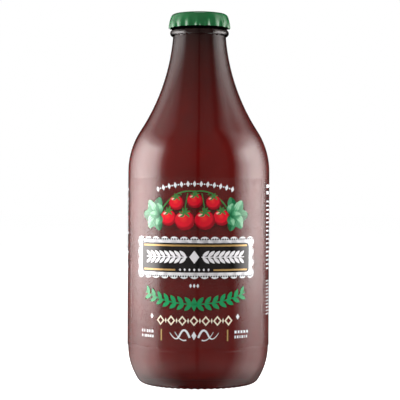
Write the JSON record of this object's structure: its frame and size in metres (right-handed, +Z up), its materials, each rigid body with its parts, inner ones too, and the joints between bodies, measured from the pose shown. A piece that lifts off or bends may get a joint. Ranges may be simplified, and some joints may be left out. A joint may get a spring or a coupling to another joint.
{
  "type": "bottle of tomato sauce",
  "caption": "Filled glass sauce bottle with a long sloping neck, a fluted crown cap, clear film labels and a knurled base.",
  "frame": {"origin": "centre of the circle on which the bottle stands, under its knurled ring", "axes": "+Z up along the bottle's axis, -Y towards the front label, +X to the viewer's right"},
  "size_m": [0.0654, 0.0654, 0.1699],
  "materials": {
    "glass": "smooth clear soda-lime glass",
    "tomato_sauce": "dark red tomato sauce, wet",
    "cap_lacquer": "gloss green lacquer on tinplate",
    "liner": "soft pale sealing compound",
    "label_film": "clear printed film"
  },
  "bodies": {
    "root": {"bottle": "glass", "sauce": "tomato_sauce", "crown_cap": "cap_lacquer", "cap_liner": "liner", "front_label": "label_film", "back_label": "label_film"}
  },
  "joints": []
}
